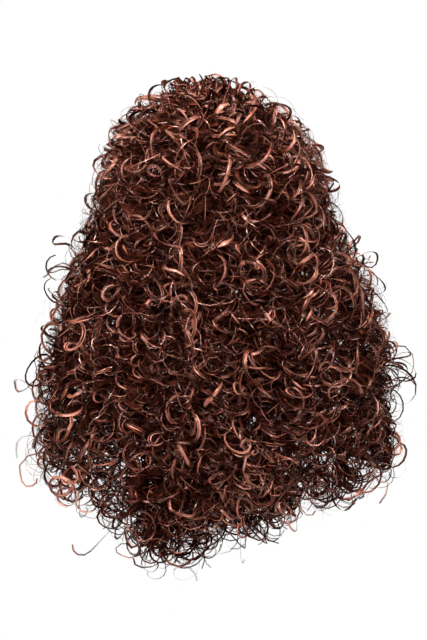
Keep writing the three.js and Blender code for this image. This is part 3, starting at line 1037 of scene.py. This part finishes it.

# %% [markdown]
# The wefts, each with its own roots, layer and locks. Those of the nape, the sides, the back and
# the crown stand for the solids of the same names. Short locks at the whorl and a tuft beside it
# close the top. Single frizz strands, a few stray loops and many thin flyaway fibres loosen the
# outline. Dark hair underneath, low and on top, closes the view through to the far side, and its
# dark tone is painted shade for the depths of the hair.
# Lengths are in millimetres and angles in degrees. A pair of numbers is a range, except that a
# tone is a middle and a spread.

# %% Kinds of curl and settings that wefts share
RINGS = dict(curl=(8, 12), pitch=(2.2, 3.2), lean=(50, 90), bundle=(1.0, 1.9))
CORKSCREWS = dict(curl=(7, 10.5), pitch=(2.6, 3.6), lean=(5, 50), bundle=(1.0, 1.9))
LOOPS = dict(curl=(9, 12.5), pitch=(1.8, 2.6), lean=(70, 90), bundle=(0.5, 1.0))
SINGLE = dict(curl=(6, 14), pitch=(2.0, 3.6), lean=(0, 85), bundle=(0.3, 0.7))
HIDDEN = dict(curl=(7, 11), pitch=(2.6, 3.6), lean=(0, 60), bundle=(4.0, 7.0))

FULL_LOCKS = dict(strands=6, fewer=3, fine=2)
RINGLETS = dict(**FULL_LOCKS, curls=(RINGS, CORKSCREWS, CORKSCREWS), width=(0.95, 1.45))
LOW_ROOTS = dict(**RINGLETS, rise=0.11, tuck=1.0, sway=16, flick=18)
# The underhair wefts below have low tones, which are painted shade for the depths of the hair.
UNDERHAIR = dict(
    strands=3, top_share=0.0, tuck=1.0, sway=9, heave=3, flick=4,
    curls=(HIDDEN,), points=10, finish=shaded,
)
CROWN = dict(
    layer="outer", hem=1, front=-84, back=66, aside=58, across=14, rise=0.035,
    hem_from=-54, hem_to=92, seam_shift=6, fan=7, crowd=0.85,
)
WHORL_ROOTS = {**CROWN, "front": -40, "back": 34, "aside": 36, "across": 18}
TUFT_ROOTS = {**CROWN, "front": -34, "back": 26, "aside": 44, "across": 12}
print("kinds of curl: rings, corkscrews, loops, single strands and hidden hair")

# %% The wefts
WEFTS = {
    "nape": dict(
        **LOW_ROOTS, layer="under", locks=30, hem=0, root_from=28, root_way=NAPE_ROOT,
        root_spread=(-30, 15), hem_from=18, hem_to=91, seam_shift=0, fan=4, shorter=45, heave=10,
        tone=(0.02, 0.12), points=14,
    ),
    "side": dict(
        **LOW_ROOTS, layer="side", locks=31, hem=0, root_from=-50, root_way=SIDE_ROOT,
        root_spread=(-20, 25), hem_from=-52, hem_to=24, seam_shift=0, fan=4, shorter=45, heave=10,
        tone=(0.11, 0.18), points=14,
    ),
    "back": dict(
        **LOW_ROOTS, layer="middle", locks=44, hem=0.5, root_from=24, root_way=BACK_ROOT,
        root_spread=(-20, 50), hem_from=16, hem_to=93, seam_shift=-5, fan=5, shorter=60, heave=8,
        tone=(0.07, 0.18), points=12,
    ),
    "crown": dict(
        **CROWN, **RINGLETS, locks=63, shorter=100, tuck=1.05, sway=18, heave=13, flick=12,
        tone=(0.26, 0.22), points=14,
    ),
    "whorl": dict(
        **WHORL_ROOTS, **FULL_LOCKS, length=(70, 120), locks=26, shorter=0, tuck=1.7, sway=8,
        heave=3, flick=0, curls=(RINGS,), width=(0.9, 1.4), tone=(0.1, 0.15), points=13,
    ),
    "frizz": dict(
        **CROWN, locks=34, strands=1, shorter=220, top_share=0.8, tuck=1.0, sway=20, heave=9,
        flick=14, curls=(SINGLE,), width=(0.35, 0.6), tone=(0.6, 0.2), points=13, finish=flyaway,
    ),
    "stray": dict(
        layer="outer", locks=9, strands=2, hem=1, root_from=-20, root_way=180, root_spread=(0, 140),
        rise=0.5, raised=0.8, length=(50, 95), hem_from=-15, hem_to=25, seam_shift=0, fan=8,
        shorter=0, top_share=1.0, depth=1.22, tuck=-1.0, sway=8, heave=5, flick=6, curls=(LOOPS,),
        twist=(60, 120), width=(0.9, 1.4), tone=(-0.1, 0.12), points=18,
    ),
    "flyaway": dict(
        layer="outer", locks=1000, strands=1, hem=1, root_from=-50, root_way=45,
        root_spread=(0, 400), rise=0.1, raised=1, length=(50, 120), hem_from=-52, hem_to=92,
        seam_shift=6, fan=10, shorter=0, top_share=1.0, tuck=1.3, sway=16, heave=8, flick=4,
        curls=(SINGLE,), width=(0.2, 0.34), tone=(0.0, 0.3), points=11, finish=flyaway,
    ),
    # The low tone of the two underhair wefts is painted shade in the depths.
    "low_under": dict(
        **UNDERHAIR, layer="under", locks=46, hem=0, root_from=-50, root_way=SIDE_ROOT + 30,
        root_spread=(-20, 25), rise=0.2, hem_from=-52, hem_to=93, seam_shift=0, fan=3, shorter=50,
        raised_hem=32, thin_tip=0.35, width=(2.3, 3.6), tone=(-0.2, 0.06),
    ),
    "top_under": dict(
        **CROWN, **UNDERHAIR, locks=40, shorter=320, width=(2.6, 3.8), tone=(-0.2, 0.08), depth=0.75,
    ),
    "tuft": dict(
        **TUFT_ROOTS, length=(40, 80), locks=24, strands=6, fewer=1, fine=2, shorter=0,
        top_share=0.6, tuck=1.5, sway=12, heave=3, flick=0, curls=(LOOPS,), width=(1.3, 1.8),
        tone=(0.1, 0.15), points=12,
    ),
}
print("wefts on each side:", ", ".join(WEFTS))

# %% [markdown]
# Now every weft is curled, on the left and on the right. Of its locks some lie on top, with
# larger curls and broader strands, and the rest lie deeper and are painted darker, as painted
# shade from the hair over them. Each lock gets its values from the ranges above, with a seed for
# each piece, so that every run gives the same hair.
# The nodes know the spines but not the cap, so curls that lie close to it wind through it in
# places. Pressing those points out onto the cap would be the next thing to add.

# %% The values of each lock
STRAND_WIDTH = 0.8 * MM
LOOSENESS = 0.4
TOP_SHARE = 0.4
TOP_DEPTH, INNER_DEPTH = (0.88, 1.0), (0.0, 0.6)
TOP_CURL, TOP_BUNDLE, TOP_WIDTH = 1.15, 1.25, 1.35
TOP_TONES = [-0.25, 0.12]
# Deeper locks are painted darker, as painted shade from the hair over them.
PAINTED_DEPTH_SHADE, PAINTED_DEPTH_SHADE_FROM = 1.3, 0.7
ROLL_SPREAD = 0.7
SEED_STEP = 20


def lock_values(weft, curl, styled, on_top, depth, random):
    """The named values that the nodes read from each spine."""
    count, fine = weft["locks"], weft.get("fine", 0)
    values = {
        "curl": curl * MM,
        "pitch": curl * styled("pitch") * MM,
        "lean": np.radians(styled("lean")),
        "bundle": styled("bundle") * np.where(on_top, TOP_BUNDLE, 1.0) * MM,
        "thin_tip": np.full(count, weft.get("thin_tip", 1.0)),
        "turn": random.choice([-1.0, 1.0], count),
        "phase": random.uniform(0, TURN, count),
        "width": random.uniform(*weft["width"], count) * np.where(on_top, TOP_WIDTH, 1.0),
        "strands": weft["strands"] - np.where(on_top, 0, weft.get("fewer", 0)),
        "fine": np.where(on_top, fine, fine // 2),
        "twist": np.radians(random.uniform(*weft.get("twist", (0, 180)), count)),
    }
    tone = random.normal(*weft["tone"], count)
    top_tone = random.choice(TOP_TONES, count, p=[0.5, 0.5])
    # Locks that lie deeper get a lower tone by their depth, a painted shade.
    values["tone"] = tone + np.where(on_top, top_tone, PAINTED_DEPTH_SHADE * (depth - PAINTED_DEPTH_SHADE_FROM))
    return values


def curl_weft(weft_name, weft, side, seed):
    random = np.random.default_rng(seed)
    count = weft["locks"]
    on_top = np.arange(count) % 5 < 5 * weft.get("top_share", TOP_SHARE)
    top, inner = random.uniform(*TOP_DEPTH, count), random.uniform(*INNER_DEPTH, count)
    depth = np.where(on_top, top, inner) * weft.get("depth", 1.0)
    style = random.integers(0, len(weft["curls"]), count)

    def styled(name):
        low, high = np.array([curls[name] for curls in weft["curls"]], dtype=float)[style].T
        return random.uniform(low, high)

    curl = styled("curl") * np.where(on_top, TOP_CURL, 1.0)
    values = lock_values(weft, curl, styled, on_top, depth, random)
    points, outwards = lock_spines(weft, side, curl, depth, random)
    middle = outwards[:, SPINE_POINTS // 2]
    facing = np.arctan2(middle[:, 1], middle[:, 0]) - TURN / 4
    values["roll"] = facing + random.normal(0, ROLL_SPREAD, count)
    spines = spine_object(f"{side}_{weft_name}_spines", points, outwards, values)
    sockets = {
        "Strand width": STRAND_WIDTH,
        "Looseness": LOOSENESS,
        "Points per turn": float(weft["points"]),
        "Seed": seed * SEED_STEP,
        "Material": weft.get("finish", auburn),
    }
    return made_by_nodes(spines, ringlets, f"{side}_{weft_name}_curls", sockets)


# %% Curl the wefts
SIDES = ("left", "right")
SEWN = ("nape", "side", "back", "crown")
FIRST_SEED = 10

triangles_in_all = 0
for weft_number, (weft_name, weft) in enumerate(WEFTS.items()):
    for side_number, side in enumerate(SIDES):
        curls = curl_weft(weft_name, weft, side, FIRST_SEED + 2 * weft_number + side_number)
        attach(curls, "root")
        if weft_name in SEWN:
            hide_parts(f"{side}_{weft_name}_weft")
        triangles = count_triangles(curls)
        triangles_in_all += triangles
        print(curls.name, triangles, "triangles")
print("hair in all:", triangles_in_all, "triangles")
